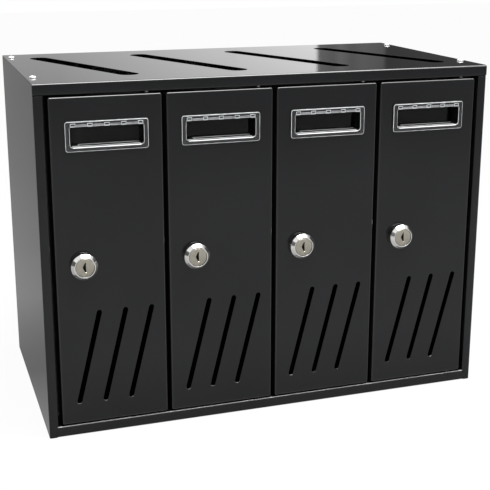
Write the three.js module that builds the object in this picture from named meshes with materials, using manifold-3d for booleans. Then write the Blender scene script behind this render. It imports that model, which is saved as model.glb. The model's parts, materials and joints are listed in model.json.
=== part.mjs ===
// A bank of four lockable vertical letterboxes in black sheet steel.
// Millimetres, +Z up, front towards -Y. The origin is the middle of the cabinet's footprint on the floor.
import * as THREE from "three";
import { mergeVertices } from "three/addons/utils/BufferGeometryUtils.js";
import Module from "manifold-3d";

const wasm = await Module();
wasm.setup();

// Cabinet
const BAYS = 4;
const WIDTH = 460;
const HEIGHT = 345;
const DEPTH = 250;
const SHEET = 0.8;
const BEND = 1.2; // radius of a bend at the middle of the sheet
const SEAM = 0.3; // gap between two sheets that are fastened together
const SIDE_FLANGE = 9;
const TOP_FLANGE = 11;
const BOTTOM_FLANGE = 10.5;
const WELD_FOLD = 12;
const SCREW_FOLD = 14;
const SCREW_FOLD_END = 8; // how far the screw fold runs past its end screws
const RIGHT_RETURN = 12; // how far the right flange folds back into the cabinet

// Letter slots in the top
const SLOT_LENGTH = 190;
const SLOT_WIDTH = 20;
const SLOT_ANGLE = 21.7; // degrees from the cabinet's depth, front end to the right

// Top screws
const SCREW_INSET = 6.5;
const SCREW_FRONT = 43;
const SCREW_REAR = 31;
const SCREW_RADIUS = 1.9;
const SCREW_HEAD_RADIUS = 3.4;
const SCREW_HEAD = 2.2;
const SCREW_RIM = 0.7; // straight edge of the head, under its dome
const SCREW_TAIL = 3.5;

// Wall-fixing holes in the back
const WALL_HOLE_RADIUS = 3.5;
const WALL_HOLE_SIDE = 55;
const WALL_HOLE_END = 60;

// Doors
const DOOR_GAP = 4; // beside and between the doors
const DOOR_GAP_Z = 1.8; // above and below the doors
const DOOR_SHEET = 1;
const DOOR_DEPTH = 14;
const DOOR_EDGE = 1.6; // outer radius round the front
const DOOR_CORNER = 2; // corner radius in the front view
const STOP_GAP = 1; // between a closed door's rear edge and its stop lip
const STOP_LIP = 12;

// Hinge pins
const PIN_RADIUS = 2;
const PIN_INSET = 13; // from the door's right edge
const PIN_DEPTH = 6.5; // behind the door's front
const PIN_LIP = 6; // hinge lip behind the pin's axis
const PIN_TAIL = 1.8;
const PIN_HEAD_RADIUS = 3.6;
const PIN_HEAD = 1.2;
const PIN_CHAMFER = 0.5;
const PIN_PLAY = 0.35;

// Vents
const VENTS = 3;
const VENT_LENGTH = 97;
const VENT_WIDTH = 5;
const VENT_PITCH = 25.6;
const VENT_ANGLE = 14; // degrees from upright, top end to the right
const VENT_HEIGHT = 79.7; // middle, above the floor
const VENT_SHIFT = 1.5; // to the right of the middle of the door

// Label holders
const LABEL_WIDTH = 77.5;
const LABEL_HEIGHT = 28;
const LABEL_BORDER = 4.3; // flange round the well
const LABEL_CORNER = 2.5;
const LABEL_EDGE = 0.8; // rounding of the flange's front edge
const LABEL_THICKNESS = 2; // flange, out from the door's front
const LABEL_DROP = 49.3; // middle, below the cabinet's top
const WELL_DEPTH = 11; // behind the door's front
const WELL_WALL = 1;
const WELL_CORNER = 2.5;
const WELL_LEDGE = 1.2; // inward ledge that holds the window from behind
const WELL_LEDGE_DEPTH = 0.9;
const WINDOW_THICKNESS = 0.9;
const CLIPS = 5; // along the top of the well, behind the door's skin
const CLIP_END = 0.8; // from each end of the well to the first clip
const CLIP_WIDTH = 4.5;
const CLIP_DEPTH = 2;
const CLIP_RISE = 1.2;
const RIB_INSET = 9; // left end of the clip rib along the foot of the well

// Cam locks
const LOCK_INSET = 26.4; // from the door's left edge
const BEZEL_RADIUS = 12.8;
const BEZEL_RIM = 5.5; // length of the straight collar before its chamfer
const BEZEL_FACE_RADIUS = 10;
const BEZEL_PROUD = 9;
const BEZEL_FACE_WALL = 0.8; // ring round the plug's face
const LOCK_BODY_RADIUS = 9;
const LOCK_FLAT = 1; // taken off each side of the body
const LOCK_BODY_LENGTH = 16.5; // behind the door's front
const PLUG_HEAD = 3;
const PLUG_SET_BACK = 0.3; // plug face behind the bezel's face
const PLUG_WALL = 2.4; // housing wall round the plug
const TURN_PLAY = 0.3; // all round the plug
const TAIL_SIDE = 6.4; // square tail that carries the cam
const KEYHOLE_WIDTH = 1.8;
const KEYHOLE_LENGTH = 8.6;
const KEYHOLE_BOW = 1.3; // how far the keyhole's middle lies left of its ends
const KEYHOLE_DEPTH = 6;
const NUT_SIDES = 6;
const NUT_FLATS = 23; // across the flats
const NUT_THICKNESS = 4;
const CAM_THICKNESS = 2;
const CAM_REACH = 25;
const CAM_HUB_RADIUS = 8;
const CAM_TIP_RADIUS = 5.5;
const CAM_SCREW_RADIUS = 1.8;
const CAM_SCREW_LENGTH = 8;
const CAM_SCREW_HEAD_RADIUS = 5;
const CAM_SCREW_HEAD = 2.4;
const CAM_SCREW_RIM = 1;

// Places worked out from the sizes above
const FRONT = -DEPTH / 2;
const BACK = DEPTH / 2;
const HALF = WIDTH / 2;
const BEND_OUTER = BEND + SHEET / 2;
const DOOR_WIDTH = (WIDTH - 2 * SIDE_FLANGE - (BAYS + 1) * DOOR_GAP) / BAYS;
const BAY_PITCH = DOOR_WIDTH + DOOR_GAP;
const DOOR_BOTTOM = BOTTOM_FLANGE + DOOR_GAP_Z;
const DOOR_TOP = HEIGHT - TOP_FLANGE - DOOR_GAP_Z;
const DOOR_HEIGHT = DOOR_TOP - DOOR_BOTTOM;
const HINGE_LIP = PIN_DEPTH + PIN_LIP;
const STOP_DEPTH = DOOR_DEPTH + STOP_GAP;
const FLANGE_FLAT = HALF - SIDE_FLANGE + BEND_OUTER;
const FRONT_NOTCH = BEND_OUTER + SEAM;
const REAR_FACE = BACK - SHEET - SEAM;
const LOCK_HALF = LOCK_BODY_RADIUS - LOCK_FLAT;
const PLUG_HEAD_RADIUS = BEZEL_FACE_RADIUS - BEZEL_FACE_WALL - TURN_PLAY;
const PLUG_RADIUS = LOCK_BODY_RADIUS - PLUG_WALL - TURN_PLAY;
const CAM_FRONT = LOCK_BODY_LENGTH + 2 * SEAM;
const TAIL_END = CAM_FRONT + CAM_THICKNESS + SEAM;
const LABEL_MIDDLE = HEIGHT - LABEL_DROP;
const WELL_WIDTH = LABEL_WIDTH - 2 * LABEL_BORDER;
const WELL_HEIGHT = LABEL_HEIGHT - 2 * LABEL_BORDER;

// Cuts and facets
const CUT_MARGIN = 1; // how far a cutting shape runs past what it cuts
const BEND_STEPS = 3;
const EDGE_STEPS = 3;
const CHORD_ERROR = 0.08; // how far a flat facet may lie inside a true arc
const MERGE_DISTANCE = 1e-4;

const bays = Array.from({ length: BAYS }, (_, i) => i);
const doorMiddle = (bay) => (bay - (BAYS - 1) / 2) * BAY_PITCH;
const pinPlace = (bay) => doorMiddle(bay) + DOOR_WIDTH / 2 - PIN_INSET;

// Materials

const steel = (colour, roughness, metalness) =>
  new THREE.MeshStandardMaterial({ color: colour, roughness, metalness });
const blackCoat = () => steel(0x26282a, 0.42, 0.1);
const chrome = () => steel(0xd4d2cc, 0.16, 1);
const satinNickel = () => steel(0xa9a39a, 0.38, 1);
const zinc = () => steel(0xc6c7c4, 0.3, 1);
const clearPlastic = () =>
  new THREE.MeshStandardMaterial({
    color: 0xdfe6e8,
    roughness: 0.12,
    metalness: 0,
    transparent: true,
    opacity: 0.35,
  });

// Solids and cuts

function toSolid(geometry) {
  geometry.deleteAttribute("normal");
  geometry.deleteAttribute("uv");
  const merged = mergeVertices(geometry, MERGE_DISTANCE);
  return new wasm.Manifold(
    new wasm.Mesh({
      numProp: 3,
      vertProperties: merged.attributes.position.array,
      triVerts: new Uint32Array(merged.index.array),
    }),
  );
}

function toMesh(name, solid, material) {
  const made = solid.getMesh();
  const geometry = new THREE.BufferGeometry();
  geometry.setAttribute("position", new THREE.BufferAttribute(made.vertProperties, made.numProp));
  geometry.setIndex(new THREE.BufferAttribute(made.triVerts, 1));
  geometry.computeVertexNormals();
  const mesh = new THREE.Mesh(geometry, material);
  mesh.name = name;
  return mesh;
}

const span = (a, b) => [Math.min(a, b), Math.max(a, b)];

function block([x0, x1], [y0, y1], [z0, z1]) {
  const box = new THREE.BoxGeometry(x1 - x0, y1 - y0, z1 - z0);
  return toSolid(box.translate((x0 + x1) / 2, (y0 + y1) / 2, (z0 + z1) / 2));
}

const AXIS_X = new THREE.Vector3(1, 0, 0);
const AXIS_Y = new THREE.Vector3(0, 1, 0);
const AXIS_Z = new THREE.Vector3(0, 0, 1);
const CENTRE = new THREE.Vector2();

// A shape in (y, z), drawn out along X.
function prismX(shape, low, high) {
  const geometry = new THREE.ExtrudeGeometry(shape, { depth: high - low, bevelEnabled: false });
  geometry.applyMatrix4(new THREE.Matrix4().makeBasis(AXIS_Y, AXIS_Z, AXIS_X));
  return toSolid(geometry.translate(low, 0, 0));
}

// A shape in (x, z), drawn out along Y, with the edges of both ends rounded by the given radius.
function prismY(shape, low, high, rounding = 0) {
  const geometry = new THREE.ExtrudeGeometry(shape, {
    depth: high - low - 2 * rounding,
    bevelEnabled: rounding > 0,
    bevelThickness: rounding,
    bevelSize: rounding,
    bevelOffset: -rounding,
    bevelSegments: EDGE_STEPS,
  });
  geometry.applyMatrix4(new THREE.Matrix4().makeBasis(AXIS_X, AXIS_Z, AXIS_Y.clone().negate()));
  return toSolid(geometry.translate(0, high - rounding, 0));
}

// A shape in (x, y), drawn out along Z.
function prismZ(shape, low, high) {
  const geometry = new THREE.ExtrudeGeometry(shape, { depth: high - low, bevelEnabled: false });
  return toSolid(geometry.translate(0, 0, low));
}

// How many facets an arc needs.
function arcSteps(radius, angle) {
  return Math.ceil(angle / (2 * Math.acos(1 - CHORD_ERROR / radius)));
}

// A profile of [radius, place] pairs turned about Y.
function turned(profile) {
  const points = profile.map(([radius, place]) => new THREE.Vector2(radius, place));
  const widest = Math.max(...points.map((point) => point.x));
  return new THREE.LatheGeometry(points, arcSteps(widest, 2 * Math.PI));
}

const turnedY = (profile) => toSolid(turned(profile));
const turnedZ = (profile) => toSolid(turned(profile).rotateX(Math.PI / 2));

// Outlines

// Points along an arc about (u, v), both ends included.
function arc(u, v, radius, from, to) {
  const steps = arcSteps(radius, to - from);
  return Array.from({ length: steps + 1 }, (_, i) => {
    const angle = from + ((to - from) * i) / steps;
    return new THREE.Vector2(u + radius * Math.cos(angle), v + radius * Math.sin(angle));
  });
}

function roundedRectangle(width, height, corner) {
  const right = width / 2 - corner;
  const top = height / 2 - corner;
  const quarter = Math.PI / 2;
  return new THREE.Shape([
    ...arc(right, top, corner, 0, quarter),
    ...arc(-right, top, corner, quarter, 2 * quarter),
    ...arc(-right, -top, corner, 2 * quarter, 3 * quarter),
    ...arc(right, -top, corner, 3 * quarter, 4 * quarter),
  ]);
}

// The profile of a round cap on a head of the given radius, from its rim up to the axis.
function cap(radius, rim, top) {
  const rise = top - rim;
  const curve = (radius ** 2 + rise ** 2) / (2 * rise);
  const points = arc(0, top - curve, curve, Math.acos(radius / curve), Math.PI / 2);
  return [...points.slice(0, -1).map((point) => [point.x, point.y]), [0, top]];
}

function circle(radius) {
  return new THREE.Shape(arc(0, 0, radius, 0, 2 * Math.PI).slice(1));
}

// A slot with round ends that stands along the shape's second axis, leaning to the right by an angle.
function slot(length, width, degrees) {
  const end = (length - width) / 2;
  const lean = THREE.MathUtils.degToRad(-degrees);
  const far = new THREE.Vector2(0, end).rotateAround(CENTRE, lean);
  return new THREE.Shape([
    ...arc(far.x, far.y, width / 2, lean, lean + Math.PI),
    ...arc(-far.x, -far.y, width / 2, lean + Math.PI, lean + 2 * Math.PI),
  ]);
}

// One side of a bent sheet: the path of its middle, offset sideways, with an arc at each corner.
function sheetSide(corners, offset) {
  const path = corners.map(([u, v]) => new THREE.Vector2(u, v));
  const heading = (i) => path[i + 1].clone().sub(path[i]).normalize();
  const leftOf = (direction) => new THREE.Vector2(-direction.y, direction.x);
  const last = path.length - 1;
  const side = [path[0].clone().addScaledVector(leftOf(heading(0)), offset)];
  for (let i = 1; i < last; i++) {
    const before = heading(i - 1);
    const turn = Math.atan2(before.cross(heading(i)), before.dot(heading(i)));
    const inward = BEND * Math.sign(turn);
    const start = path[i].clone().addScaledVector(before, -BEND * Math.tan(Math.abs(turn) / 2));
    const centre = start.clone().addScaledVector(leftOf(before), inward);
    const arm = leftOf(before).multiplyScalar(offset - inward);
    for (let step = 0; step <= BEND_STEPS; step++) {
      const swung = arm.clone().rotateAround(CENTRE, (turn * step) / BEND_STEPS);
      side.push(swung.add(centre));
    }
  }
  side.push(path[last].clone().addScaledVector(leftOf(heading(last - 1)), offset));
  return side;
}

function bentSheet(corners) {
  const left = sheetSide(corners, SHEET / 2);
  const right = sheetSide(corners, -SHEET / 2);
  return new THREE.Shape([...left, ...right.reverse()]);
}

// Cabinet panels

function topPanel() {
  const middle = HEIGHT - SHEET / 2;
  const lip = HEIGHT - TOP_FLANGE + SHEET / 2;
  const profile = bentSheet([
    [BACK, middle],
    [FRONT + SHEET / 2, middle],
    [FRONT + SHEET / 2, lip],
    [FRONT + HINGE_LIP, lip],
  ]);
  let panel = prismX(profile, -HALF, HALF);
  for (const end of [-1, 1]) {
    const inner = HALF - SHEET - SEAM;
    const reach = span(end * inner, end * (HALF + CUT_MARGIN));
    const lipSpan = [FRONT + FRONT_NOTCH, FRONT + HINGE_LIP + CUT_MARGIN];
    panel = panel.subtract(block(reach, lipSpan, [lip - SHEET, lip + SHEET]));
  }
  for (const bay of bays) {
    const letterSlot = slot(SLOT_LENGTH, SLOT_WIDTH, -SLOT_ANGLE);
    const opening = prismZ(letterSlot, HEIGHT - 2 * SHEET, HEIGHT + SHEET);
    panel = panel.subtract(opening.translate([doorMiddle(bay), 0, 0]));
    panel = panel.subtract(pinHole(bay, lip));
  }
  for (const [x, y] of screwPlaces()) {
    const hole = prismZ(circle(SCREW_RADIUS + SEAM), HEIGHT - 2 * SHEET, HEIGHT + SHEET);
    panel = panel.subtract(hole.translate([x, y, 0]));
  }
  return toMesh("top_panel", panel, blackCoat());
}

function pinHole(bay, lip) {
  const hole = prismZ(circle(PIN_RADIUS + PIN_PLAY), lip - SHEET, lip + SHEET);
  return hole.translate([pinPlace(bay), FRONT + PIN_DEPTH, 0]);
}

function screwPlaces() {
  const across = HALF - SCREW_INSET;
  return [-across, across].flatMap((x) => [
    [x, FRONT + SCREW_FRONT],
    [x, BACK - SCREW_REAR],
  ]);
}

function bottomPanel() {
  const lip = BOTTOM_FLANGE - SHEET / 2;
  const profile = bentSheet([
    [REAR_FACE, SHEET / 2],
    [FRONT + SHEET / 2, SHEET / 2],
    [FRONT + SHEET / 2, lip],
    [FRONT + HINGE_LIP, lip],
  ]);
  const inner = HALF - SHEET - SEAM;
  let panel = prismX(profile, -inner, inner);
  for (const end of [-1, 1]) {
    const reach = span(end * FLANGE_FLAT, end * HALF);
    const flangeSpan = [FRONT - CUT_MARGIN, FRONT + FRONT_NOTCH];
    const lipSpan = [FRONT - CUT_MARGIN, FRONT + HINGE_LIP + CUT_MARGIN];
    panel = panel.subtract(block(reach, flangeSpan, [-CUT_MARGIN, BOTTOM_FLANGE + CUT_MARGIN]));
    panel = panel.subtract(block(reach, lipSpan, [lip - SHEET, BOTTOM_FLANGE + CUT_MARGIN]));
  }
  for (const bay of bays) {
    panel = panel.subtract(pinHole(bay, lip));
  }
  return toMesh("bottom_panel", panel, blackCoat());
}

function backPanel() {
  let panel = block([-HALF, HALF], [BACK - SHEET, BACK], [0, HEIGHT - SHEET - SEAM]);
  for (const x of [WALL_HOLE_SIDE - HALF, HALF - WALL_HOLE_SIDE]) {
    for (const z of [WALL_HOLE_END, HEIGHT - WALL_HOLE_END]) {
      const hole = prismY(circle(WALL_HOLE_RADIUS), BACK - 2 * SHEET, BACK + SHEET);
      panel = panel.subtract(hole.translate([x, 0, z]));
    }
  }
  return toMesh("back_panel", panel, blackCoat());
}

// A side panel; side is -1 on the left, where the flange goes on into a stop lip for the first door.
function sidePanel(side) {
  const wall = side * (HALF - SHEET / 2);
  const fold = side * (HALF - SIDE_FLANGE + SHEET / 2);
  const rear = REAR_FACE - SHEET / 2;
  const firstDoorEdge = HALF - SIDE_FLANGE - DOOR_GAP;
  const stop = FRONT + STOP_DEPTH + SHEET / 2;
  const returnCorners = [
    [fold, stop],
    [side * (firstDoorEdge - STOP_LIP + DOOR_GAP / 2), stop],
  ];
  const profile = bentSheet([
    [side * (HALF - WELD_FOLD), rear],
    [wall, rear],
    [wall, FRONT + SHEET / 2],
    [fold, FRONT + SHEET / 2],
    ...(side < 0 ? returnCorners : [[fold, FRONT + RIGHT_RETURN]]),
  ]);
  const top = HEIGHT - SHEET - SEAM;
  const flangeTop = HEIGHT - TOP_FLANGE - SEAM;
  const across = (near, far) => span(side * near, side * far);
  const inside = firstDoorEdge - STOP_LIP;
  let panel = prismZ(profile, 0, top);
  const wallFace = HALF - SHEET - SEAM;
  const frontSpan = [FRONT - CUT_MARGIN, stop + SHEET];
  const rearSpan = [REAR_FACE - BEND_OUTER - SEAM, REAR_FACE + CUT_MARGIN];
  const bendSpan = [FRONT - CUT_MARGIN, FRONT + FRONT_NOTCH];
  const cuts = [
    block(across(FLANGE_FLAT, inside), frontSpan, [-CUT_MARGIN, BOTTOM_FLANGE + SEAM]),
    block(across(wallFace, inside), frontSpan, [flangeTop, HEIGHT]),
    block(across(HALF + CUT_MARGIN, inside), bendSpan, [flangeTop, HEIGHT]),
    block(across(wallFace, HALF - WELD_FOLD - CUT_MARGIN), rearSpan, [-CUT_MARGIN, SHEET + SEAM]),
  ];
  for (const cut of cuts) {
    panel = panel.subtract(cut);
  }
  const foldSpan = [FRONT + SCREW_FRONT - SCREW_FOLD_END, BACK - SCREW_REAR + SCREW_FOLD_END];
  panel = panel.add(block(across(HALF - SHEET / 2, HALF - SCREW_FOLD), foldSpan, [top - SHEET, top]));
  for (const [x, y] of screwPlaces()) {
    const hole = prismZ(circle(SCREW_RADIUS + SEAM), top - 2 * SHEET, top + SHEET);
    panel = panel.subtract(hole.translate([x, y, 0]));
  }
  return toMesh(side < 0 ? "left_side_panel" : "right_side_panel", panel, blackCoat());
}

// A partition stands behind the gap between two doors; its front lip stops the door on its right.
function partition(bay) {
  const rear = REAR_FACE - SHEET / 2;
  const stop = FRONT + STOP_DEPTH + SHEET / 2;
  const profile = bentSheet([
    [WELD_FOLD, rear],
    [0, rear],
    [0, stop],
    [STOP_LIP, stop],
  ]);
  const wall = prismZ(profile, SHEET + SEAM, HEIGHT - SHEET - SEAM);
  const mesh = toMesh(`partition_${bay + 1}`, wall, blackCoat());
  mesh.position.x = doorMiddle(bay) + BAY_PITCH / 2;
  return mesh;
}

function topScrew([x, y], index) {
  const screw = turnedZ([
    [0, -SCREW_TAIL],
    [SCREW_RADIUS, -SCREW_TAIL],
    [SCREW_RADIUS, 0],
    [SCREW_HEAD_RADIUS, 0],
    ...cap(SCREW_HEAD_RADIUS, SCREW_RIM, SCREW_HEAD),
  ]);
  const mesh = toMesh(`top_screw_${index + 1}`, screw, zinc());
  mesh.position.set(x, y, HEIGHT);
  return mesh;
}

// Doors, drawn about the hinge axis: x = 0 and y = 0 on the pins, z = 0 at the cabinet's floor

const DOOR_LEFT = PIN_INSET - DOOR_WIDTH;
const DOOR_CENTRE = PIN_INSET - DOOR_WIDTH / 2;
const DOOR_FRONT = -PIN_DEPTH;
const LOCK_X = DOOR_LEFT + LOCK_INSET;
const LOCK_Z = HEIGHT / 2;

function door(bay) {
  const rear = DOOR_FRONT + DOOR_DEPTH;
  const skin = DOOR_FRONT + DOOR_SHEET;
  const outer = roundedRectangle(DOOR_WIDTH, DOOR_HEIGHT, DOOR_CORNER);
  const inner = roundedRectangle(
    DOOR_WIDTH - 2 * DOOR_SHEET,
    DOOR_HEIGHT - 2 * DOOR_SHEET,
    DOOR_CORNER - DOOR_SHEET,
  );
  const past = rear + DOOR_DEPTH;
  const middle = [DOOR_CENTRE, 0, (DOOR_BOTTOM + DOOR_TOP) / 2];
  const slab = prismY(outer, DOOR_FRONT, past, DOOR_EDGE).translate(middle);
  const hollow = prismY(inner, skin, past, DOOR_EDGE - DOOR_SHEET).translate(middle);
  const behind = block(
    [DOOR_LEFT - CUT_MARGIN, PIN_INSET + CUT_MARGIN],
    [rear, past + CUT_MARGIN],
    [DOOR_BOTTOM - CUT_MARGIN, DOOR_TOP + CUT_MARGIN],
  );
  let tray = slab.subtract(hollow).subtract(behind);
  const through = (shape, x, z) =>
    prismY(shape, DOOR_FRONT - CUT_MARGIN, skin + CUT_MARGIN).translate([x, 0, z]);
  for (let i = 0; i < VENTS; i++) {
    const x = DOOR_CENTRE + VENT_SHIFT + (i - (VENTS - 1) / 2) * VENT_PITCH;
    tray = tray.subtract(through(slot(VENT_LENGTH, VENT_WIDTH, VENT_ANGLE), x, VENT_HEIGHT));
  }
  tray = tray.subtract(through(lockHole(), LOCK_X, LOCK_Z));
  tray = tray.subtract(through(wellOutline(WELL_WALL + SEAM), DOOR_CENTRE, LABEL_MIDDLE));
  const pinBore = prismZ(circle(PIN_RADIUS + SEAM), DOOR_BOTTOM - CUT_MARGIN, DOOR_TOP + CUT_MARGIN);
  return toMesh(`door_${bay + 1}`, tray.subtract(pinBore), blackCoat());
}

// The lock body's hole: a circle with a flat on each side.
function lockHole() {
  const radius = LOCK_BODY_RADIUS + SEAM;
  const edge = Math.acos((LOCK_HALF + SEAM) / radius);
  return new THREE.Shape([
    ...arc(0, 0, radius, edge, Math.PI - edge),
    ...arc(0, 0, radius, Math.PI + edge, 2 * Math.PI - edge),
  ]);
}

// A pin with its head inside the door; end is 1 at the door's top and -1 at its foot.
function hingePin(bay, end) {
  const tip = DOOR_SHEET + DOOR_GAP_Z + SHEET + PIN_TAIL;
  const pin = turnedZ([
    [0, -PIN_HEAD],
    [PIN_HEAD_RADIUS, -PIN_HEAD],
    [PIN_HEAD_RADIUS, 0],
    [PIN_RADIUS, 0],
    [PIN_RADIUS, tip - PIN_CHAMFER],
    [PIN_RADIUS - PIN_CHAMFER, tip],
    [0, tip],
  ]);
  const mesh = toMesh(`hinge_pin_${end > 0 ? "top" : "bottom"}_${bay + 1}`, pin, zinc());
  const seat = DOOR_SHEET + SEAM;
  mesh.position.z = end > 0 ? DOOR_TOP - seat : DOOR_BOTTOM + seat;
  mesh.rotation.x = end > 0 ? 0 : Math.PI;
  return mesh;
}

// Label holders: a flange on the door's front round a well that clips into the door

function wellOutline(growth) {
  return roundedRectangle(WELL_WIDTH + 2 * growth, WELL_HEIGHT + 2 * growth, WELL_CORNER + growth);
}

function labelFrame(bay) {
  const flangeRear = DOOR_FRONT - SEAM;
  const front = flangeRear - LABEL_THICKNESS;
  const rear = DOOR_FRONT + WELL_DEPTH;
  const outline = roundedRectangle(LABEL_WIDTH, LABEL_HEIGHT, LABEL_CORNER);
  const past = flangeRear + LABEL_THICKNESS;
  const behind = block(
    [-LABEL_WIDTH, LABEL_WIDTH],
    [flangeRear, past + CUT_MARGIN],
    [-LABEL_HEIGHT, LABEL_HEIGHT],
  );
  const flange = prismY(outline, front, past, LABEL_EDGE).subtract(behind);
  const wall = prismY(wellOutline(WELL_WALL), front, rear);
  const hollow = prismY(wellOutline(0), front - CUT_MARGIN, rear - WELL_LEDGE_DEPTH);
  const view = prismY(wellOutline(-WELL_LEDGE), front, rear + CUT_MARGIN);
  let frame = flange.add(wall).add(topClips()).add(footRib());
  frame = frame.subtract(hollow).subtract(view).translate([DOOR_CENTRE, 0, LABEL_MIDDLE]);
  return toMesh(`label_frame_${bay + 1}`, frame, clearPlastic());
}

// A clip or rib that stands off the well's outside, just behind the door's skin.
function clipBlock(reach, end) {
  const front = DOOR_FRONT + DOOR_SHEET + SEAM;
  const inside = WELL_HEIGHT / 2 + WELL_WALL / 2;
  const outside = WELL_HEIGHT / 2 + WELL_WALL + CLIP_RISE;
  return block(reach, [front, front + CLIP_DEPTH], span(end * inside, end * outside));
}

function topClips() {
  const pitch = (WELL_WIDTH - 2 * CLIP_END - CLIP_WIDTH) / (CLIPS - 1);
  const clips = Array.from({ length: CLIPS }, (_, i) => {
    const x = (i - (CLIPS - 1) / 2) * pitch;
    return clipBlock([x - CLIP_WIDTH / 2, x + CLIP_WIDTH / 2], 1);
  });
  return clips.reduce((joined, clip) => joined.add(clip));
}

function footRib() {
  const end = WELL_WIDTH / 2 - WELL_CORNER;
  return clipBlock([RIB_INSET - WELL_WIDTH / 2, end], -1);
}

function labelWindow(bay) {
  const rear = DOOR_FRONT + WELL_DEPTH - WELL_LEDGE_DEPTH - SEAM;
  const pane = prismY(wellOutline(-SEAM), rear - WINDOW_THICKNESS, rear);
  const placed = pane.translate([DOOR_CENTRE, 0, LABEL_MIDDLE]);
  return toMesh(`label_window_${bay + 1}`, placed, clearPlastic());
}

// Cam locks, drawn about the lock axis: y = 0 on the door's front, the cabinet's inside towards +Y

function lockHousing(bay) {
  const face = -BEZEL_PROUD;
  const foot = -SEAM;
  const seat = face + PLUG_SET_BACK + PLUG_HEAD + TURN_PLAY;
  const bore = PLUG_RADIUS + TURN_PLAY;
  const well = PLUG_HEAD_RADIUS + TURN_PLAY;
  const barrel = turnedY([
    [bore, seat],
    [well, seat],
    [well, face],
    [BEZEL_FACE_RADIUS, face],
    [BEZEL_RADIUS, foot - BEZEL_RIM],
    [BEZEL_RADIUS, foot],
    [LOCK_BODY_RADIUS, foot],
    [LOCK_BODY_RADIUS, LOCK_BODY_LENGTH],
    [bore, LOCK_BODY_LENGTH],
    [bore, seat],
  ]);
  const edge = LOCK_BODY_RADIUS + CUT_MARGIN;
  const flats = [-1, 1].map((side) => {
    const reach = span(side * LOCK_HALF, side * edge);
    return block(reach, [foot, LOCK_BODY_LENGTH + CUT_MARGIN], [-edge, edge]);
  });
  const housing = flats.reduce((body, flat) => body.subtract(flat), barrel);
  return toMesh(`lock_housing_${bay + 1}`, housing, chrome());
}

function lockNut(bay) {
  const front = DOOR_SHEET + SEAM;
  const corner = NUT_FLATS / 2 / Math.cos(Math.PI / NUT_SIDES);
  const rear = front + NUT_THICKNESS;
  const hexagon = Array.from({ length: NUT_SIDES }, (_, i) =>
    new THREE.Vector2(corner, 0).rotateAround(CENTRE, (i * 2 * Math.PI) / NUT_SIDES),
  );
  const hole = prismY(circle(LOCK_BODY_RADIUS + SEAM), front - CUT_MARGIN, rear + CUT_MARGIN);
  const nut = prismY(new THREE.Shape(hexagon), front, rear).subtract(hole);
  return toMesh(`lock_nut_${bay + 1}`, nut, zinc());
}

function lockPlug(bay) {
  const face = -BEZEL_PROUD + PLUG_SET_BACK;
  const barrel = turnedY([
    [0, face],
    [PLUG_HEAD_RADIUS, face],
    [PLUG_HEAD_RADIUS, face + PLUG_HEAD],
    [PLUG_RADIUS, face + PLUG_HEAD],
    [PLUG_RADIUS, TAIL_END - SEAM],
    [0, TAIL_END - SEAM],
  ]);
  const tailFrom = CAM_FRONT - SEAM;
  const wide = 2 * PLUG_RADIUS;
  const around = block([-wide, wide], [tailFrom, TAIL_END], [-wide, wide]);
  const half = TAIL_SIDE / 2;
  const tail = block([-half, half], [tailFrom - CUT_MARGIN, TAIL_END + CUT_MARGIN], [-half, half]);
  const threadEnd = TAIL_END - CAM_SCREW_LENGTH - SEAM;
  const thread = prismY(circle(CAM_SCREW_RADIUS + SEAM), threadEnd, TAIL_END + CUT_MARGIN);
  const plug = barrel.subtract(around.subtract(tail)).subtract(thread).subtract(keyhole(face));
  return toMesh(`lock_plug_${bay + 1}`, plug, satinNickel());
}

// An upright keyhole whose middle bows to the left.
function keyhole(face) {
  const side = (offset) =>
    [-1, 0, 1].map((end) => {
      const bow = (Math.abs(end) - 1 / 2) * KEYHOLE_BOW;
      return new THREE.Vector2(bow + offset, (end * KEYHOLE_LENGTH) / 2);
    });
  const right = side(KEYHOLE_WIDTH / 2);
  const left = side(-KEYHOLE_WIDTH / 2);
  const outline = new THREE.Shape([...right, ...left.reverse()]);
  return prismY(outline, face - CUT_MARGIN, face + KEYHOLE_DEPTH);
}

// The cam hangs down from the plug's tail while the lock is open.
function lockCam(bay) {
  const lean = Math.asin((CAM_HUB_RADIUS - CAM_TIP_RADIUS) / (CAM_REACH - CAM_TIP_RADIUS));
  const outline = new THREE.Shape([
    ...arc(0, 0, CAM_HUB_RADIUS, -lean, Math.PI + lean),
    ...arc(0, CAM_TIP_RADIUS - CAM_REACH, CAM_TIP_RADIUS, Math.PI + lean, 2 * Math.PI - lean),
  ]);
  const half = TAIL_SIDE / 2 + SEAM;
  const square = block([-half, half], [CAM_FRONT - CUT_MARGIN, TAIL_END + CUT_MARGIN], [-half, half]);
  const cam = prismY(outline, CAM_FRONT, CAM_FRONT + CAM_THICKNESS).subtract(square);
  return toMesh(`lock_cam_${bay + 1}`, cam, zinc());
}

function camScrew(bay) {
  const screw = turnedY([
    [0, TAIL_END - CAM_SCREW_LENGTH],
    [CAM_SCREW_RADIUS, TAIL_END - CAM_SCREW_LENGTH],
    [CAM_SCREW_RADIUS, TAIL_END],
    [CAM_SCREW_HEAD_RADIUS, TAIL_END],
    ...cap(CAM_SCREW_HEAD_RADIUS, TAIL_END + CAM_SCREW_RIM, TAIL_END + CAM_SCREW_HEAD),
  ]);
  return toMesh(`cam_screw_${bay + 1}`, screw, zinc());
}

// Assembly

function lockAssembly(bay) {
  const turning = new THREE.Group();
  turning.add(lockPlug(bay), lockCam(bay), camScrew(bay));
  const lock = new THREE.Group();
  lock.add(lockHousing(bay), lockNut(bay), turning);
  lock.position.set(LOCK_X, DOOR_FRONT, LOCK_Z);
  return lock;
}

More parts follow.
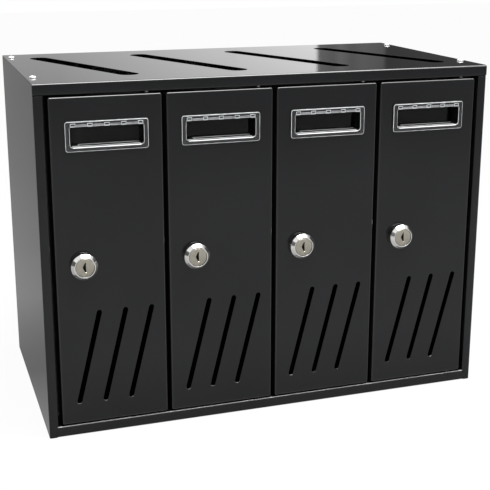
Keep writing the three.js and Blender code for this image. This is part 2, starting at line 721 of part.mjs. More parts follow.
function doorAssembly(bay) {
  const hinged = new THREE.Group();
  hinged.add(door(bay), hingePin(bay, 1), hingePin(bay, -1));
  hinged.add(labelFrame(bay), labelWindow(bay), lockAssembly(bay));
  hinged.position.set(pinPlace(bay), FRONT + PIN_DEPTH, 0);
  return hinged;
}

const letterboxes = new THREE.Group();
letterboxes.add(topPanel(), bottomPanel(), backPanel(), sidePanel(-1), sidePanel(1));
letterboxes.add(...bays.slice(0, -1).map(partition));
letterboxes.add(...screwPlaces().map(topScrew));
letterboxes.add(...bays.map(doorAssembly));

export default letterboxes;
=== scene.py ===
"""Looks for a bank of four vertical letterboxes.

Black coated sheet steel, chrome cam locks and clear label holders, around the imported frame.
"""
import json
import math

import bmesh
import bpy
from mathutils import Matrix, Vector

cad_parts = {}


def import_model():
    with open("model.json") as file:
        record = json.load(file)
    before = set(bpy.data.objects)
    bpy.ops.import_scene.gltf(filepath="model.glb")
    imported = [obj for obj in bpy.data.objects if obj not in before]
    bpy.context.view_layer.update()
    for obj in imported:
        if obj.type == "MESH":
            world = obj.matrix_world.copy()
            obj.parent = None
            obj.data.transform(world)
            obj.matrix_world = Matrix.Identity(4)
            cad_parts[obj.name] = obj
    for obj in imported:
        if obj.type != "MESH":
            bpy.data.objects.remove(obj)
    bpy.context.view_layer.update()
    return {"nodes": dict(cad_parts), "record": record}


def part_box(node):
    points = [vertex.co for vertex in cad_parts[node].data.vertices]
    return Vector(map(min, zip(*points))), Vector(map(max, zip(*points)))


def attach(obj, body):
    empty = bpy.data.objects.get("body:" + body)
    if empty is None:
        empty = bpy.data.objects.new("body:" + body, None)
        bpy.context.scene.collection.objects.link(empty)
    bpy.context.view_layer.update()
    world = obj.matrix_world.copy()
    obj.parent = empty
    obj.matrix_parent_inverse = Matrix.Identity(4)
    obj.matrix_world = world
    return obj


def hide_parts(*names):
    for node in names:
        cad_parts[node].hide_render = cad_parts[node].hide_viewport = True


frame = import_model()

BAYS = range(1, 5)
NODES = frame["nodes"]
MM = 0.001
EVEN = (1, 1, 1)
WHITE = (1, 1, 1, 1)


# Node graphs

NOISE_LOW, NOISE_HIGH = 0.3, 0.7  # a noise seldom leaves this range


class Graph:
    """A node tree with short ways to add and join nodes."""

    def __init__(self, tree):
        self.tree = tree
        tree.nodes.clear()

    def add(self, kind, inputs=None, **settings):
        node = self.tree.nodes.new("ShaderNode" + kind)
        for name, value in settings.items():
            setattr(node, name, value)
        for name, value in (inputs or {}).items():
            self.put(node.inputs[name], value)
        return node

    def put(self, socket, value):
        if isinstance(value, bpy.types.NodeSocket):
            self.tree.links.new(value, socket)
        else:
            socket.default_value = value

    def math(self, operation, *values):
        return self.add("Math", dict(enumerate(values)), operation=operation).outputs[0]

    def ramp(self, factor, stops):
        """A ramp through (place, tone) stops, where a tone is a grey level or a colour."""
        node = self.add("ValToRGB", {"Fac": factor})
        elements = node.color_ramp.elements
        while len(elements) < len(stops):
            elements.new(0.5)
        for element, (place, tone) in zip(elements, stops):
            element.position = place
            element.color = (tone, tone, tone, 1) if isinstance(tone, float) else (*tone, 1)
        return node.outputs["Color"]

    def mottle(self, noise, dark, light):
        """A colour that follows a noise from dark to light."""
        return self.ramp(noise, [(NOISE_LOW, dark), (NOISE_HIGH, light)])

    def remap(self, value, low, high):
        return self.add("MapRange", {"Value": value, "To Min": low, "To Max": high}).outputs["Result"]

    def share(self, value, low, high):
        """0 where a value is low or less, and 1 where it is high or more."""
        return self.add("MapRange", {"Value": value, "From Min": low, "From Max": high}).outputs["Result"]

    def place(self, stretch=EVEN):
        place = self.add("TexCoord").outputs["Object"]
        return self.add("Mapping", {"Vector": place, "Scale": stretch}).outputs["Vector"]

    def noise(self, scale, detail=2.0, stretch=EVEN):
        made = self.add("TexNoise", {"Vector": self.place(stretch), "Scale": scale, "Detail": detail})
        return made.outputs["Fac"]

    def rings(self, scale, axis):
        made = self.add(
            "TexWave",
            {"Vector": self.place(), "Scale": scale, "Distortion": 1.5, "Detail": 3.0, "Detail Scale": 2.0},
            wave_type="RINGS",
            rings_direction=axis,
        )
        return made.outputs["Fac"]

    def bump(self, height, strength, distance):
        made = self.add("Bump", {"Height": height, "Strength": strength, "Distance": distance})
        return made.outputs["Normal"]


def material(name):
    made = bpy.data.materials.new(name)
    made.use_nodes = True
    return made, Graph(made.node_tree)


def surface(graph, shader):
    graph.add("OutputMaterial", {"Surface": shader.outputs[0]})


# Materials


def black_coat(name, ior):
    """Smooth powder coat: nearly black and glossy, with a faint orange peel and slow changes of gloss."""
    made, g = material(name)
    shader = g.add("BsdfPrincipled", {
        "Base Color": g.mottle(g.noise(9, 3), (0.0045, 0.0048, 0.0053), (0.0064, 0.0068, 0.0075)),
        "Roughness": g.remap(g.noise(40, 4), 0.03, 0.07),
        "IOR": ior,
        "Normal": g.bump(g.noise(900, 1), 0.05, 0.0003),
    })
    surface(g, shader)
    return made


def painted_shade_coat(name):
    """Painted shade: a darker, duller copy of the coat for the cut and folded edges inside the gaps and the
    walls of the label wells, where shade falls.
    """
    made, g = material(name)
    shader = g.add("BsdfPrincipled", {
        "Base Color": g.mottle(g.noise(60, 3), (0.0025, 0.0026, 0.0028), (0.005, 0.0052, 0.0056)),
        "Roughness": g.remap(g.noise(200, 3), 0.5, 0.7),
        "IOR": 1.2,
        "Normal": g.bump(g.noise(900, 1), 0.08, 0.0003),
    })
    surface(g, shader)
    return made


def plated(name, dark, light, low, high, marks):
    """Plated metal whose gloss and relief follow its tool marks.

    The marks are either the stretch of a noise or the axis that the piece was turned on.
    """
    made, g = material(name)
    grain = g.rings(260, marks) if isinstance(marks, str) else g.noise(420, 4, marks)
    shader = g.add("BsdfPrincipled", {
        "Base Color": g.mottle(g.noise(160, 3), dark, light),
        "Metallic": 1.0,
        "Roughness": g.remap(grain, low, high),
        "Normal": g.bump(grain, 0.06, 0.0001),
    })
    surface(g, shader)
    return made


def clear_plastic(name, ior):
    """Clear moulded plastic with slightly uneven faces."""
    made, g = material(name)
    wave = g.noise(70, 2)
    shader = g.add("BsdfPrincipled", {
        "Base Color": g.mottle(wave, (0.93, 0.95, 0.96), (0.98, 0.99, 0.99)),
        "Roughness": g.remap(g.noise(300, 3), 0.02, 0.08),
        "IOR": ior,
        "Transmission Weight": 1.0,
        "Normal": g.bump(wave, 0.04, 0.0005),
    })
    surface(g, shader)
    return made


def painted_highlight_edge(name, dark, light):
    """Painted highlight: a pale colour for a fine edge, standing in for the light it gathers."""
    made, g = material(name)
    wave = g.noise(220, 3)
    shader = g.add("BsdfPrincipled", {
        "Base Color": g.mottle(wave, dark, light),
        "Roughness": g.remap(g.noise(500, 2), 0.12, 0.3),
        "IOR": 1.49,
        "Normal": g.bump(wave, 0.1, 0.0002),
    })
    surface(g, shader)
    return made


def painted_keyhole_shade(name):
    """Painted shade: a near-black colour for the walls and floor inside a keyhole, where shade falls."""
    made, g = material(name)
    shader = g.add("BsdfPrincipled", {
        "Base Color": g.mottle(g.noise(900, 2), (0.004, 0.0035, 0.003), (0.012, 0.01, 0.008)),
        "Roughness": g.remap(g.noise(600, 2), 0.4, 0.6),
    })
    surface(g, shader)
    return made


LOOKS = {
    "black_coat": black_coat("black_coat_look", 1.4),
    "zinc": plated("zinc_look", (0.5, 0.5, 0.49), (0.68, 0.68, 0.66), 0.2, 0.36, (1, 1, 8)),
    "chrome": plated("chrome_look", (0.74, 0.73, 0.71), (0.82, 0.81, 0.79), 0.05, 0.12, EVEN),
    "satin_nickel": plated("satin_nickel_look", (0.4, 0.375, 0.315), (0.5, 0.47, 0.4), 0.24, 0.38, "Y"),
    "clear_plastic": clear_plastic("clear_plastic_look", 1.49),
}
SCREW_LOOK = plated("screw_look", (0.8, 0.8, 0.79), (0.9, 0.9, 0.89), 0.5, 0.65, "Z")
WINDOW_LOOK = clear_plastic("window_look", 1.24)
# Pale colours that paint the highlights on fine edges of the label holders, the vents and the bottom flange
HIGHLIGHT_EDGE_LOOK = painted_highlight_edge("painted_highlight_edge_look", (0.42, 0.43, 0.44), (0.72, 0.73, 0.74))
HIGHLIGHT_FOOT_LOOK = painted_highlight_edge("painted_highlight_foot_look", (0.86, 0.87, 0.88), (0.95, 0.95, 0.95))
PAINTED_GLINT_LOOK = painted_highlight_edge("painted_glint_edge_look", (0.5, 0.5, 0.5), (0.8, 0.8, 0.8))
ROLLED_LOOK = black_coat("rolled_edge_look", 1.9)
TURNED_LOOK = black_coat("turned_edge_look", 1.55)
# Painted shade for the edges inside the door gaps and the walls of the label wells
PAINTED_SHADE_LOOK = painted_shade_coat("painted_shade_coat_look")
# Painted shade inside the keyholes
PAINTED_KEYHOLE_SHADE_LOOK = painted_keyhole_shade("painted_keyhole_shade_look")

for part in frame["record"]["subparts"]:
    is_window = part["node"].startswith("label_window")
    slots = NODES[part["node"]].data.materials
    slots.clear()
    slots.append(WINDOW_LOOK if is_window else LOOKS[part["material_slot"]])


# Shapes

SHARP_ANGLE = math.radians(40)  # edges with a larger angle between their faces aren't shaded round
BEVEL_STEPS = 2
BEVEL_SHAPE = 0.5  # a round bevel


def round_ring(radius, depth, angles):
    return [(radius * math.cos(a), depth, radius * math.sin(a)) for a in angles]


def square_ring(half, depth, angles):
    reach = [half / max(abs(math.cos(a)), abs(math.sin(a))) for a in angles]
    return [(r * math.cos(a), depth, r * math.sin(a)) for r, a in zip(reach, angles)]


def level_ring(radius, height, angles):
    return [(radius * math.cos(a), radius * math.sin(a), height) for a in angles]


def plate_ring(width, height, corner, depth, steps=6):
    """An upright rectangle with round corners."""
    points = []
    for quarter, (right, up) in enumerate(((1, 1), (-1, 1), (-1, -1), (1, -1))):
        for step in range(steps + 1):
            a = math.radians(90 * (quarter + step / steps))
            x = right * (width / 2 - corner) + corner * math.cos(a)
            z = up * (height / 2 - corner) + corner * math.sin(a)
            points.append((x, depth, z))
    return points


def outline(corners, steps):
    """The corners of a flat outline with each side cut into steps."""
    points = []
    for i, start in enumerate(corners):
        end = corners[(i + 1) % len(corners)]
        points += [Vector(start).lerp(Vector(end), k / steps) for k in range(steps)]
    return points


def rounded(profile, steps=4):
    """A closed profile of (radius, depth, rounding) corners as (radius, depth) points."""
    points = []
    for i, (radius, depth, size) in enumerate(profile):
        here = Vector((radius, depth))
        if size == 0:
            points.append(here)
            continue
        before = Vector(profile[i - 1][:2]) - here
        after = Vector(profile[(i + 1) % len(profile)][:2]) - here
        start, end = here + before.normalized() * size, here + after.normalized() * size
        for k in range(steps + 1):
            points.append(start.lerp(here, k / steps).lerp(here.lerp(end, k / steps), k / steps))
    return points


class Form:
    """The faces of one piece, drawn about the point where it is placed."""

    def __init__(self):
        self.mesh = bmesh.new()

    def loft(self, rings, looks=None, closed=False):
        """Joins each ring of points to the next, and returns the rings."""
        made = [[self.mesh.verts.new(point) for point in ring] for ring in rings]
        pairs = list(zip(made, made[1:])) + ([(made[-1], made[0])] if closed else [])
        for k, (a, b) in enumerate(pairs):
            for i in range(len(a)):
                j = (i + 1) % len(a)
                face = self.mesh.faces.new((a[i], a[j], b[j], b[i]))
                face.material_index = looks[k] if looks else 0
        return made

    def lid(self, ring, look=0):
        self.mesh.faces.new(ring).material_index = look

    def bevel(self, edges, offset):
        bmesh.ops.bevel(
            self.mesh, geom=edges, offset=offset, segments=BEVEL_STEPS, profile=BEVEL_SHAPE, affect="EDGES"
        )

    def bar(self, low, high, edge, look):
        """A straight bar with rounded edges."""
        low, high = Vector(low), Vector(high)
        others = set(self.mesh.faces)
        shape = Matrix.LocRotScale((low + high) / 2, None, high - low)
        made = bmesh.ops.create_cube(self.mesh, size=1, matrix=shape)
        self.bevel(list({e for v in made["verts"] for e in v.link_edges}), edge)
        for face in set(self.mesh.faces) - others:
            face.material_index = look

    def make(self, name, place, looks, scale=MM):
        """The piece as an object, scaled from the units that it was drawn in to metres."""
        bmesh.ops.recalc_face_normals(self.mesh, faces=self.mesh.faces)
        bmesh.ops.scale(self.mesh, vec=(scale,) * 3, verts=self.mesh.verts)
        data = bpy.data.meshes.new(name)
        self.mesh.to_mesh(data)
        self.mesh.free()
        for look in looks:
            data.materials.append(look)
        data.shade_smooth()
        data.set_sharp_from_angle(angle=SHARP_ANGLE)
        made = bpy.data.objects.new(name, data)
        made.location = place
        bpy.context.scene.collection.objects.link(made)
        made.modifiers.new("even_faces", "WEIGHTED_NORMAL").keep_sharp = True
        return made


def stand_in(piece, node, body):
    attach(piece, body)
    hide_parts(node)


def middle(node):
    low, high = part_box(node)
    return (low + high) / 2


# Sheet steel, in metres

COAT, SHADED, PAINTED_GLINT, ROLLED, TURNED = range(5)
SHEET_LOOKS = [LOOKS["black_coat"], PAINTED_SHADE_LOOK, PAINTED_GLINT_LOOK, ROLLED_LOOK, TURNED_LOOK]
SAME_POINT = 0.001 * MM
FLAT_ANGLE = math.radians(0.5)  # faces that meet at less are one
CUT_ANGLE = math.radians(50)  # faces that meet at more have a cut edge between them
CUT_BREAK = 0.18 * MM
FLANGE_TOP = 10.5 * MM  # upper edge of the bottom panel's front flange
FLANGE_TOP_REACH, FLANGE_TOP_DEPTH = 0.5 * MM, 1.2 * MM
BEND_DEPTH = 2 * MM  # of the top panel's front bend
VENT_FOOT = (20 * MM, 50 * MM)  # heights between which the lower ends of the vents lie

# Shares of a face's normal
STRAIGHT = 0.98
EDGE_ON = 0.3
BEND_RISE, DOOR_RISE, VENT_RISE = 0.2, 0.25, 0.5


def sheet_look(node, front, face):
    """Rolled edges have a glossier coat; faces inside the gaps get a painted shade, and edges where light
    gathers get a pale painted highlight.
    """
    normal, place = face.normal, face.calc_center_median()
    if node == "bottom_panel":
        # The flange's top edge takes a pale colour that paints its highlight
        level = abs(place.z - FLANGE_TOP) < FLANGE_TOP_REACH
        return PAINTED_GLINT if level and place.y < front + FLANGE_TOP_DEPTH and normal.z > EDGE_ON else COAT
    if node == "top_panel":
        return ROLLED if place.y < front + BEND_DEPTH and BEND_RISE < normal.z < STRAIGHT else COAT
    if not node.startswith("door") or abs(normal.y) > STRAIGHT:
        return COAT
    # Faces inside the gaps take the painted shade
    if abs(normal.y) < EDGE_ON:
        return SHADED
    # The lower ends of the vents take a pale colour that paints their glint
    if VENT_FOOT[0] < place.z < VENT_FOOT[1] and normal.z > VENT_RISE and normal.y < 0:
        return PAINTED_GLINT
    return ROLLED if normal.z > DOOR_RISE else TURNED


def dressed_sheet(node, body):
    """The sheet of a CAD node with its cut edges broken and its bends shaded round."""
    form = Form()
    mesh = form.mesh
    mesh.from_mesh(NODES[node].data)
    bmesh.ops.remove_doubles(mesh, verts=mesh.verts, dist=SAME_POINT)
    bmesh.ops.dissolve_limit(mesh, angle_limit=FLAT_ANGLE, verts=mesh.verts, edges=mesh.edges)
    cut = [e for e in mesh.edges if len(e.link_faces) == 2 and e.calc_face_angle() > CUT_ANGLE]
    form.bevel(cut, CUT_BREAK)
    mesh.normal_update()
    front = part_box(node)[0].y
    for face in mesh.faces:
        face.material_index = sheet_look(node, front, face)
    stand_in(form.make(node + "_sheet", (0, 0, 0), SHEET_LOOKS, 1), node, body)


# Label holders, in millimetres, with depths from the door's front

# BRIGHT and FOOT are pale colours that paint highlights; DIM is the painted shade on the well's inner walls
CLEAR, BRIGHT, DIM, FOOT = range(4)
LABEL_LOOKS = [LOOKS["clear_plastic"], HIGHLIGHT_EDGE_LOOK, PAINTED_SHADE_LOOK, HIGHLIGHT_FOOT_LOOK]
FLANGE_WIDTH, FLANGE_HEIGHT, FLANGE_CORNER = 77.5, 28, 2.5
FLANGE_BACK, FLANGE_FRONT, FLANGE_EDGE = -0.3, -2.3, 0.5
WELL_WIDTH, WELL_HEIGHT, WELL_CORNER = 68.9, 19.4, 2.5
WELL_LIP, WELL_WALL, WELL_BACK = 0.4, 1.0, 11.0
LEDGE, LEDGE_DEPTH = 1.2, 0.9
CARD_HALF = 8.85  # half the height that a name card needs
EDGE_TURNS = [math.radians(30 * k) for k in range(4)]  # a quarter turn round an edge

LIP_PROUD, LIP_SINK, LIP_HEIGHT, LIP_EDGE = 0.25, 0.2, 1.0, 0.2
STEP_FRONT, STEP_BACK, STEP_SINK, STEP_RISE = 1.4, 1.8, 0.1, 0.45
RIB_INSET, RIB_FRONT, RIB_BACK, RIB_RISE = 9, 8.6, 8.9, 0.35
HOOK_FRONT, HOOK_WIDTH = 1.7, 0.4
FOOT_EDGE = 0.1

TOP_PROUD, TOP_SINK, TOP_INSET, TOP_HEIGHT, TOP_EDGE = 0.2, 0.9, 0.05, 0.8, 0.2

TABS, TAB_PITCH, TAB_WIDTH, TAB_TOP, TAB_LINE = 5, 15.7, 5.0, 12.2, 0.6
TAB_PROUD, TAB_SINK, TAB_EDGE = 0.3, 0.6, 0.12
FINE_RISES = (0.2, 1.8)  # of the fine lines between the tabs, above the card
FINE_GAP, FINE_PROUD, FINE_SINK, FINE_HEIGHT, FINE_EDGE = 0.6, 0.15, 0.5, 0.3, 0.08


def flange_ring(inset, depth):
    return plate_ring(FLANGE_WIDTH - 2 * inset, FLANGE_HEIGHT - 2 * inset, FLANGE_CORNER - inset, depth)


def well_ring(growth, depth):
    return plate_ring(WELL_WIDTH + 2 * growth, WELL_HEIGHT + 2 * growth, WELL_CORNER + growth, depth)


def label_body(form):
    """The flange with its round rim, and the well behind it with a ledge at its back."""
    rim = [
        flange_ring(FLANGE_EDGE * (1 - math.cos(a)), FLANGE_FRONT + FLANGE_EDGE * (1 - math.sin(a)))
        for a in EDGE_TURNS
    ]
    lip = [
        well_ring(WELL_LIP * (1 - math.sin(a)), FLANGE_FRONT + WELL_LIP * (1 - math.cos(a)))
        for a in EDGE_TURNS
    ]
    ledge = WELL_BACK - LEDGE_DEPTH
    well = [
        well_ring(0, ledge), well_ring(-LEDGE, ledge), well_ring(-LEDGE, WELL_BACK),
        well_ring(WELL_WALL, WELL_BACK), well_ring(WELL_WALL, FLANGE_BACK),
    ]
    # The rim and lip rings take the pale colour that paints their highlight, and the well's inner walls the
    # painted shade
    looks = [CLEAR] + [BRIGHT] * (len(rim) - 1) + [CLEAR] + [BRIGHT] * (len(lip) - 1)
    form.loft([flange_ring(0, FLANGE_BACK), *rim, *lip, *well], looks + [DIM] * 3 + [CLEAR] * 3, closed=True)


def label_foot(form):
    """Lines along the foot of the well, in a pale colour that paints their highlight: its front lip, a step
    inside it, and a rib with its hook.
    """
    foot, end = -WELL_HEIGHT / 2, WELL_WIDTH / 2 - WELL_CORNER
    left = RIB_INSET - WELL_WIDTH / 2
    lip_front, lip_back = FLANGE_FRONT - LIP_PROUD, FLANGE_FRONT + LIP_SINK
    form.bar((-end, lip_front, foot - LIP_HEIGHT), (end, lip_back, foot), LIP_EDGE, FOOT)
    form.bar((-end, STEP_FRONT, foot - STEP_SINK), (end, STEP_BACK, foot + STEP_RISE), FOOT_EDGE, FOOT)
    form.bar((left, RIB_FRONT, foot + RIB_RISE), (end, RIB_BACK, -CARD_HALF), FOOT_EDGE, FOOT)
    hook = (left - HOOK_WIDTH, HOOK_FRONT, foot + RIB_RISE)
    form.bar(hook, (left, RIB_BACK, -CARD_HALF), FOOT_EDGE, FOOT)


def label_top(form):
    """The flange's top edge, and under it a row of square clip tabs joined by pairs of fine lines, all in a
    pale colour that paints their highlight.
    """
    top, side = FLANGE_HEIGHT / 2, FLANGE_WIDTH / 2 - FLANGE_CORNER
    low = (-side, FLANGE_FRONT - TOP_PROUD, top - TOP_HEIGHT)
    form.bar(low, (side, FLANGE_FRONT + TOP_SINK, top - TOP_INSET), TOP_EDGE, BRIGHT)

    front, back = FLANGE_FRONT - TAB_PROUD, FLANGE_FRONT + TAB_SINK
    for k in range(TABS):
        x = (k - (TABS - 1) / 2) * TAB_PITCH
        west, east = x - TAB_WIDTH / 2, x + TAB_WIDTH / 2
        for (x0, z0), (x1, z1) in (
            ((west, CARD_HALF), (west + TAB_LINE, TAB_TOP)),
            ((east - TAB_LINE, CARD_HALF), (east, TAB_TOP)),
            ((west, CARD_HALF), (east, CARD_HALF + TAB_LINE)),
            ((west, TAB_TOP - TAB_LINE), (east, TAB_TOP)),
        ):
            form.bar((x0, front, z0), (x1, back, z1), TAB_EDGE, BRIGHT)
        if k < TABS - 1:
            x0, x1 = east + FINE_GAP, west + TAB_PITCH - FINE_GAP
            for rise in FINE_RISES:
                z = CARD_HALF + rise
                end = (x1, FLANGE_FRONT + FINE_SINK, z + FINE_HEIGHT)
                form.bar((x0, front + FINE_PROUD, z), end, FINE_EDGE, BRIGHT)


def label_frame(bay):
    form = Form()
    label_body(form)
    label_foot(form)
    label_top(form)
    frame_node = f"label_frame_{bay}"
    place = (middle(frame_node).x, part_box(f"door_{bay}")[0].y, middle(f"label_window_{bay}").z)
    piece = form.make(f"label_holder_{bay}", place, LABEL_LOOKS)
    stand_in(piece, frame_node, f"door_{bay}_leaf")


# Cam locks, in millimetres, with depths from the door's front

TURN = [math.radians(3.75 * k) for k in range(96)]
BORE_RADIUS = 6.6
THREADS, THREAD_RADIUS, THREAD_PITCH, THREAD_DEPTH, THREAD_START = 10, 9.0, 1.45, 0.45, 1.6
BODY_END, BODY_END_RADIUS, BODY_HALF = 16.5, 8.6, 8.0
LOCK_PROFILE = [  # radius, depth and rounding
    (BORE_RADIUS, -5.4, 0), (9.2, -5.4, 0), (9.2, -9.0, 0.2), (10.0, -9.0, 0.25), (12.8, -5.8, 0.3),
    (12.8, -0.9, 0.3), (12.3, -0.3, 0), (THREAD_RADIUS, -0.3, 0), (THREAD_RADIUS, 1.4, 0),
]
KEYHOLE = [(1.1, -4.4), (0.8, 0.2), (0.9, 4.8), (0.0, 4.8), (-2.1, 0.4), (0.1, -4.4)]
KEYHOLE_STEPS = 16  # along each side
KEYHOLE_MIDDLE = -0.4
KEYHOLE_DEPTH, KEYHOLE_BEVEL = 6, 0.3
KEYHOLE_FLARE_X, KEYHOLE_FLARE_Z = 1.25, 1.07
PLUG_FACE, PLUG_HEAD = -8.7, 3.0
PLUG_PROFILE = [  # radius, and depth from the plug's face
    (5.4, 0), (7.5, 0), (7.8, -0.12), (8.5, -0.12), (8.85, 0.2), (8.85, PLUG_HEAD), (6.3, PLUG_HEAD),
]
STEM_RADIUS, STEM_END = 6.3, 16.8
SQUARE_HALF, SQUARE_END = 3.2, 19.1
SCREW_HOLE_RADIUS, SCREW_HOLE_END = 2.1, 10.8


def lock_housing(bay, place):
    """The chrome collar, and the threaded body behind the door with its two flats."""
    profile = rounded(LOCK_PROFILE)
    for k in range(THREADS):
        crest = THREAD_START + k * THREAD_PITCH
        root = (THREAD_RADIUS - THREAD_DEPTH, crest + THREAD_PITCH / 2)
        profile += [Vector((THREAD_RADIUS, crest)), Vector(root)]
    profile += [Vector((BODY_END_RADIUS, BODY_END)), Vector((BORE_RADIUS, BODY_END))]
    rings = []
    for radius, depth in profile:
        ring = round_ring(radius, depth, TURN)
        if depth > 0:
            ring = [(max(-BODY_HALF, min(BODY_HALF, x)), y, z) for x, y, z in ring]
        rings.append(ring)
    form = Form()
    form.loft(rings, closed=True)
    piece = form.make(f"lock_collar_{bay}", place, [LOOKS["chrome"]])
    stand_in(piece, f"lock_housing_{bay}", f"door_{bay}_leaf")


def lock_plug(bay, place):
    """The plug, from the bottom of its keyhole out to its face and back to its square and screw hole."""
    hole = outline(KEYHOLE, KEYHOLE_STEPS)
    angles = [math.atan2(p.y, p.x - KEYHOLE_MIDDLE) for p in hole]
    mouth = [
        (KEYHOLE_MIDDLE + (p.x - KEYHOLE_MIDDLE) * KEYHOLE_FLARE_X, PLUG_FACE, p.y * KEYHOLE_FLARE_Z)
        for p in hole
    ]
    rings = [
        [(p.x, PLUG_FACE + KEYHOLE_DEPTH, p.y) for p in hole],
        [(p.x, PLUG_FACE + KEYHOLE_BEVEL, p.y) for p in hole],
        mouth,
    ]
    rings += [round_ring(radius, PLUG_FACE + depth, angles) for radius, depth in PLUG_PROFILE]
    rings.append(round_ring(STEM_RADIUS, STEM_END, angles))
    rings += [square_ring(SQUARE_HALF, depth, angles) for depth in (STEM_END, SQUARE_END)]
    rings += [round_ring(SCREW_HOLE_RADIUS, depth, angles) for depth in (SQUARE_END, SCREW_HOLE_END)]
    form = Form()
    # The keyhole's walls and floor take the painted shade
    made = form.loft(rings, [1] + [0] * (len(rings) - 2))
    form.lid(made[0], 1)
    form.lid(made[-1])
    piece = form.make(f"lock_barrel_{bay}", place, [LOOKS["satin_nickel"], PAINTED_KEYHOLE_SHADE_LOOK])
    stand_in(piece, f"lock_plug_{bay}", f"lock_{bay}_plug_and_cam")


# Top screws, in millimetres, with heights from the top panel

SCREW_HEAD_RADIUS, SCREW_HEAD, SCREW_RIM = 3.4, 2.2, 0.7
SCREW_RADIUS, SCREW_TAIL, SCREW_POINT = 1.9, 3.5, 0.4
DOME_RADII = (2.1, 2.5, 2.8, 3.05, 3.25, 3.36, SCREW_HEAD_RADIUS)
CROSS_REACH, CROSS_HALF, CROSS_DEPTH, CROSS_STEPS = 1.4, 0.35, 0.7, 5
CROSS_TAPER, CROSS_FLARE, CROSS_BEVEL = 0.75, 1.06, 0.1


def dome(radius):
    share = max(0, 1 - (radius / SCREW_HEAD_RADIUS) ** 2)
    return SCREW_RIM + (SCREW_HEAD - SCREW_RIM) * math.sqrt(share)


def top_screw(index):
    """A domed screw head with a cross, and its plain shank."""
    arm = [(CROSS_REACH, -CROSS_HALF), (CROSS_REACH, CROSS_HALF), (CROSS_HALF, CROSS_HALF)]
    corners = []
    for quarter in range(4):
        turn = Matrix.Rotation(math.radians(90 * quarter), 2)
        corners += [turn @ Vector(corner) for corner in arm]
    cross = outline(corners, CROSS_STEPS)
    angles = [math.atan2(p.y, p.x) for p in cross]
    rings = [
        [(p.x * CROSS_TAPER, p.y * CROSS_TAPER, SCREW_HEAD - CROSS_DEPTH) for p in cross],
        [(p.x, p.y, dome(p.length) - CROSS_BEVEL) for p in cross],
        [(p.x * CROSS_FLARE, p.y * CROSS_FLARE, dome(p.length)) for p in cross],
    ]
    rings += [level_ring(radius, dome(radius), angles) for radius in DOME_RADII]
    shank = [
        (SCREW_HEAD_RADIUS, 0), (SCREW_RADIUS, 0), (SCREW_RADIUS, SCREW_POINT - SCREW_TAIL),
        (SCREW_RADIUS - SCREW_POINT, -SCREW_TAIL),
    ]
    rings += [level_ring(radius, height, angles) for radius, height in shank]
    form = Form()
    made = form.loft(rings)
    form.lid(made[0])
    form.lid(made[-1])
    low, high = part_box(f"top_screw_{index}")
    place = ((low.x + high.x) / 2, (low.y + high.y) / 2, high.z - SCREW_HEAD * MM)
    piece = form.make(f"cross_screw_{index}", place, [SCREW_LOOK])
    stand_in(piece, f"top_screw_{index}", "cabinet")


for name in ("top_panel", "bottom_panel", "left_side_panel", "right_side_panel"):
    dressed_sheet(name, "cabinet")
for number in BAYS:
    dressed_sheet(f"door_{number}", f"door_{number}_leaf")
    label_frame(number)
    axis = middle(f"lock_plug_{number}")
    axis.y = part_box(f"door_{number}")[0].y
    lock_housing(number, axis)
    lock_plug(number, axis)
    top_screw(number)


# Stage, in metres

FLOOR_SIZE, FLOOR_DROP = 12, 0.0005
FLOOR_MIRRORED = 0.85  # share of a mirrored floor that is the studio's sweep
FLOOR_SEEN = 0.95  # share of the seen floor that is plain white, the rest taking the shadow
SWEEP_REACH = 3.0
SWEEP = [  # tone of the floor in mirrors, from the front to the back
    (-3.0, 0.4), (-2.0, 0.46), (-1.0, 0.6), (-0.3, 0.64), (0.05, 0.2), (0.15, 0.22), (0.3, 0.29),
    (0.55, 0.22), (1.2, 0.21), (2.8, 0.25),
]
BACKDROP = [  # tone of the walls in mirrors, by bearing in degrees to the right of straight back
    (-180, 0.3), (-125, 0.3), (-100, 0.08), (-75, 0.4), (-50, 0.85), (-8, 0.6), (8, 0.55), (18, 1.0),
    (28, 0.07), (60, 0.15), (180, 0.3),
]
BACKDROP_END = [  # the same where the pale backdrop ends, in finer steps
    (18, 1.0), (22.3, 1.2), (22.4, 0.2), (23.2, 0.16), (23.6, 0.21), (24.2, 0.15), (24.8, 0.18),
    (25.9, 0.15), (26.05, 0.06), (28, 0.07),
]
OVERHEAD = [(0.4, 0.0), (0.5, 1.0)]  # share of white, by how far upward a mirror looks
FILL_COLOUR, FILL_STRENGTH = (0.97, 0.98, 1, 1), 0.5


def mirror_share(g):
    """1 for rays that a mirror or clear plastic sends out, which see the studio."""
    rays = g.add("LightPath").outputs
    return g.math("MAXIMUM", rays["Is Glossy Ray"], rays["Is Transmission Ray"])


def floor():
    bpy.ops.mesh.primitive_plane_add(size=FLOOR_SIZE, location=(0, 0, -FLOOR_DROP))
    plane = bpy.context.object
    plane.name = "floor"
    made, g = material("floor_look")
    lit = g.add("BsdfDiffuse", {"Color": g.mottle(g.noise(2), (0.86, 0.86, 0.86), (0.89, 0.89, 0.89))})
    white = g.add("Emission", {"Color": WHITE, "Strength": 1.0})
    depth = g.add("SeparateXYZ", {0: g.add("TexCoord").outputs["Object"]}).outputs["Y"]
    along = g.share(depth, -SWEEP_REACH, SWEEP_REACH)
    pale = g.ramp(along, [((y + SWEEP_REACH) / (2 * SWEEP_REACH), tone) for y, tone in SWEEP])
    studio = g.add("Emission", {"Color": pale, "Strength": 1.0})
    mirrored = g.math("MULTIPLY", mirror_share(g), FLOOR_MIRRORED)
    around = g.add("MixShader", {0: mirrored, 1: lit.outputs[0], 2: studio.outputs[0]})
    seen = g.math("MULTIPLY", g.add("LightPath").outputs["Is Camera Ray"], FLOOR_SEEN)
    surface(g, g.add("MixShader", {0: seen, 1: around.outputs[0], 2: white.outputs[0]}))
    plane.data.materials.append(made)


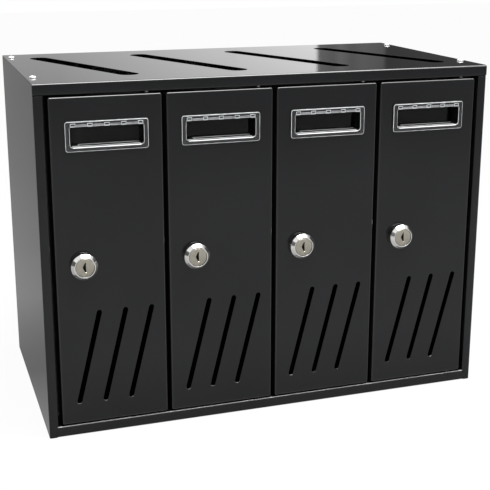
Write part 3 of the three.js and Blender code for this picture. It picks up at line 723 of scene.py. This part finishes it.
def bearing_ramp(g, bearing, stops):
    low, high = stops[0][0], stops[-1][0]
    turn = g.share(bearing, math.radians(low), math.radians(high))
    return g.ramp(turn, [((degrees - low) / (high - low), tone) for degrees, tone in stops])


def mix_colours(g, share, first, second):
    """Sockets 6 and 7 of a Mix node are its two colours, and output 2 is the mixed one."""
    return g.add("Mix", {"Factor": share, 6: first, 7: second}, data_type="RGBA").outputs[2]


def world():
    """A white studio: plain white to the camera, and to mirrors a backdrop that ends behind the right."""
    made = bpy.data.worlds.new("studio")
    bpy.context.scene.world = made
    made.use_nodes = True
    g = Graph(made.node_tree)
    way = g.add("SeparateXYZ", {0: g.add("TexCoord").outputs["Generated"]}).outputs
    bearing = g.math("ARCTAN2", way["X"], way["Y"])
    low, high = math.radians(BACKDROP_END[0][0]), math.radians(BACKDROP_END[-1][0])
    near = g.math("COMPARE", bearing, (low + high) / 2, (high - low) / 2)
    wall = mix_colours(g, near, bearing_ramp(g, bearing, BACKDROP), bearing_ramp(g, bearing, BACKDROP_END))
    studio = mix_colours(g, g.ramp(way["Z"], OVERHEAD), wall, WHITE)
    white = g.add("Background", {"Color": WHITE, "Strength": 1.0})
    fill = g.add("Background", {"Color": FILL_COLOUR, "Strength": FILL_STRENGTH})
    mirror = g.add("Background", {"Color": studio, "Strength": 1.0})
    around = g.add("MixShader", {0: mirror_share(g), 1: fill.outputs[0], 2: mirror.outputs[0]})
    rays = g.add("LightPath").outputs
    mix = g.add("MixShader", {0: rays["Is Camera Ray"], 1: around.outputs[0], 2: white.outputs[0]})
    g.add("OutputWorld", {"Surface": mix.outputs[0]})


def lamp(name, place, aim, size, watts):
    data = bpy.data.lights.new(name, "AREA")
    data.shape = "RECTANGLE"
    data.size, data.size_y = size
    data.energy = watts
    made = bpy.data.objects.new(name, data)
    made.location = place
    made.rotation_euler = (Vector(aim) - Vector(place)).to_track_quat("-Z", "Y").to_euler()
    bpy.context.scene.collection.objects.link(made)


# Camera

PHOTO = 490  # side of the picture, in pixels
FOCAL = 1050  # focal length, in pixels of the picture
SENSOR = 36
AZIMUTH, ELEVATION = math.radians(-18.43), math.radians(14.82)
AIM = Vector((-0.0305, -0.125, 0.2077))
DISTANCE = 1.0275
SHIFT = -0.06


def camera():
    back = Vector((
        math.sin(AZIMUTH) * math.cos(ELEVATION),
        -math.cos(AZIMUTH) * math.cos(ELEVATION),
        math.sin(ELEVATION),
    ))
    data = bpy.data.cameras.new("camera")
    data.sensor_width = SENSOR
    data.lens = FOCAL / PHOTO * SENSOR
    data.shift_y = SHIFT
    made = bpy.data.objects.new("camera", data)
    made.location = AIM + back * DISTANCE
    made.rotation_mode = "QUATERNION"
    made.rotation_quaternion = (-back).to_track_quat("-Z", "Y")
    bpy.context.scene.collection.objects.link(made)
    bpy.context.scene.camera = made


camera()
floor()
world()
lamp("overhead", place=(0.25, -0.45, 1.5), aim=(0, -0.05, 0.2), size=(1.4, 0.9), watts=36)
lamp("left_rear", place=(-1.5, 0.7, 1.2), aim=(-0.6, 0.5, 0), size=(1.0, 1.0), watts=4)
lamp("right_front", place=(1.2, -1.0, 0.9), aim=(0, 0, 0.15), size=(0.9, 0.9), watts=3.5)
bpy.context.scene.view_settings.view_transform = "Standard"
